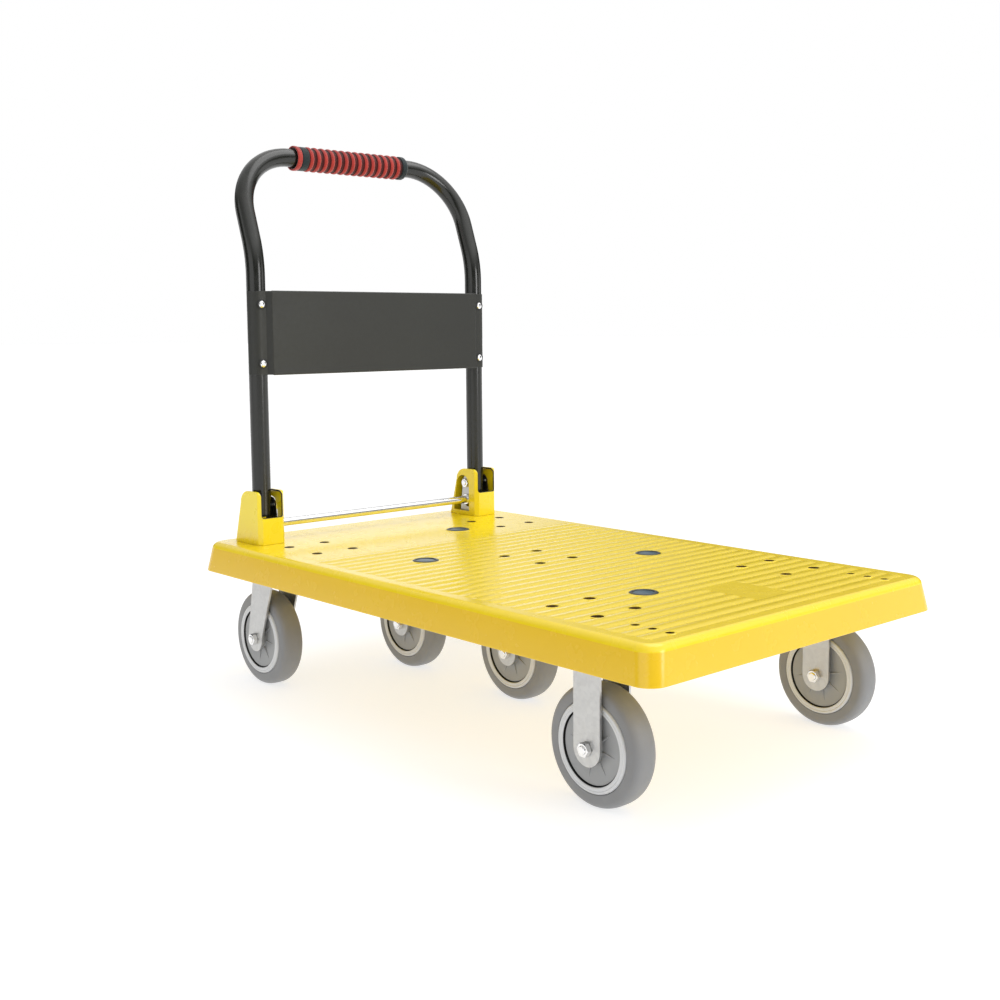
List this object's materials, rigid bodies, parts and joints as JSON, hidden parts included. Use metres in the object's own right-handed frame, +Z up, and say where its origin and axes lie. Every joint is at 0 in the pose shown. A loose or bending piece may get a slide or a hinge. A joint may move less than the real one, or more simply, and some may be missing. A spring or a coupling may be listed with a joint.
{
  "type": "folding platform cart",
  "caption": "Platform cart with a moulded yellow deck, swivel and fixed casters, and a black tubular handle with a foam grip that folds flat over the deck.",
  "frame": {"origin": "on the floor, under the centre of the deck", "axes": "+X from the handle end to the free end, +Y to the left of a person pushing the cart, +Z up"},
  "size_m": [1.1, 0.65, 0.97],
  "materials": {
    "deck": "glossy moulded yellow plastic with fine ribs",
    "plug": "dark satin plastic",
    "tyre": "matt grey cushion rubber",
    "wheel_centre": "light and mid grey moulded plastic",
    "caster_steel": "bright zinc plated pressing",
    "axle_steel": "bright plated fastener",
    "tube": "gloss black powder coat",
    "grip": "red and black foam",
    "panel": "satin charcoal sheet",
    "screw_steel": "polished dome head",
    "cover": "yellow moulded plastic",
    "bracket_steel": "plated steel",
    "pivot_steel": "bright plated fastener",
    "bar_chrome": "chromed rod",
    "spring_steel": "spring wire"
  },
  "bodies": {
    "chassis": {"bracket_cover_left": "cover", "bracket_cover_right": "cover", "deck": "deck", "deck_plug_1": "plug", "deck_plug_2": "plug", "deck_plug_3": "plug", "deck_plug_4": "plug", "front_left_axle_bolt": "axle_steel", "front_left_axle_nut": "axle_steel", "front_left_fork": "caster_steel", "front_right_axle_bolt": "axle_steel", "front_right_axle_nut": "axle_steel", "front_right_fork": "caster_steel", "hinge_bracket_left": "bracket_steel", "hinge_bracket_right": "bracket_steel", "middle_plate": "caster_steel", "pivot_bolt_left": "pivot_steel", "pivot_bolt_right": "pivot_steel", "pivot_nut_left": "pivot_steel", "pivot_nut_right": "pivot_steel", "rear_left_plate": "caster_steel", "rear_middle_plate": "caster_steel", "rear_right_plate": "caster_steel", "return_spring_left": "spring_steel", "return_spring_right": "spring_steel"},
    "handle": {"grip": "grip", "handle_panel": "panel", "handle_tube": "tube", "panel_screw_left_lower": "screw_steel", "panel_screw_left_upper": "screw_steel", "panel_screw_right_lower": "screw_steel", "panel_screw_right_upper": "screw_steel"},
    "release_bar": {"release_bar": "bar_chrome"},
    "front_right_roller": {"front_right_tyre": "tyre", "front_right_wheel": "wheel_centre"},
    "front_left_roller": {"front_left_tyre": "tyre", "front_left_wheel": "wheel_centre"},
    "rear_right_roller": {"rear_right_tyre": "tyre", "rear_right_wheel": "wheel_centre"},
    "rear_right_swivel": {"rear_right_fork": "caster_steel", "rear_right_axle_bolt": "axle_steel", "rear_right_axle_nut": "axle_steel"},
    "rear_left_roller": {"rear_left_tyre": "tyre", "rear_left_wheel": "wheel_centre"},
    "rear_left_swivel": {"rear_left_fork": "caster_steel", "rear_left_axle_bolt": "axle_steel", "rear_left_axle_nut": "axle_steel"},
    "rear_middle_roller": {"rear_middle_tyre": "tyre", "rear_middle_wheel": "wheel_centre"},
    "rear_middle_swivel": {"rear_middle_fork": "caster_steel", "rear_middle_axle_bolt": "axle_steel", "rear_middle_axle_nut": "axle_steel"},
    "middle_roller": {"middle_tyre": "tyre", "middle_wheel": "wheel_centre"},
    "middle_swivel": {"middle_fork": "caster_steel", "middle_axle_bolt": "axle_steel", "middle_axle_nut": "axle_steel"}
  },
  "joints": [
    {"name": "handle_fold", "type": "hinge", "parent": "chassis", "child": "handle", "pos_m": [-0.461, 0, 0.3175], "axis": [0, 1, 0], "range_deg": [0, 90]},
    {"name": "release_bar_press", "type": "slide", "parent": "chassis", "child": "release_bar", "axis": [0, 0, -1], "range_m": [0, 0.007], "stiffness_N_per_m": 900, "springref_m": -0.02, "deforming": ["return_spring_left", "return_spring_right"]},
    {"name": "front_right_wheel_roll", "type": "hinge", "parent": "chassis", "child": "front_right_roller", "pos_m": [0.4, -0.256, 0.084], "axis": [0, 1, 0], "continuous": true},
    {"name": "front_left_wheel_roll", "type": "hinge", "parent": "chassis", "child": "front_left_roller", "pos_m": [0.4, 0.256, 0.084], "axis": [0, 1, 0], "continuous": true},
    {"name": "rear_right_swivel_turn", "type": "hinge", "parent": "chassis", "child": "rear_right_swivel", "pos_m": [-0.387, -0.256, 0.2055], "axis": [0, 0, 1], "continuous": true},
    {"name": "rear_right_wheel_roll", "type": "hinge", "parent": "rear_right_swivel", "child": "rear_right_roller", "pos_m": [-0.437, -0.256, 0.084], "axis": [0, 1, 0], "continuous": true},
    {"name": "rear_left_swivel_turn", "type": "hinge", "parent": "chassis", "child": "rear_left_swivel", "pos_m": [-0.387, 0.256, 0.2055], "axis": [0, 0, 1], "continuous": true},
    {"name": "rear_left_wheel_roll", "type": "hinge", "parent": "rear_left_swivel", "child": "rear_left_roller", "pos_m": [-0.437, 0.256, 0.084], "axis": [0, 1, 0], "continuous": true},
    {"name": "rear_middle_swivel_turn", "type": "hinge", "parent": "chassis", "child": "rear_middle_swivel", "pos_m": [-0.3, 0, 0.2055], "axis": [0, 0, 1], "continuous": true},
    {"name": "rear_middle_wheel_roll", "type": "hinge", "parent": "rear_middle_swivel", "child": "rear_middle_roller", "pos_m": [-0.35, 0, 0.084], "axis": [0, 1, 0], "continuous": true},
    {"name": "middle_swivel_turn", "type": "hinge", "parent": "chassis", "child": "middle_swivel", "pos_m": [0, 0, 0.2055], "axis": [0, 0, 1], "continuous": true},
    {"name": "middle_wheel_roll", "type": "hinge", "parent": "middle_swivel", "child": "middle_roller", "pos_m": [-0.05, 0, 0.084], "axis": [0, 1, 0], "continuous": true}
  ]
}
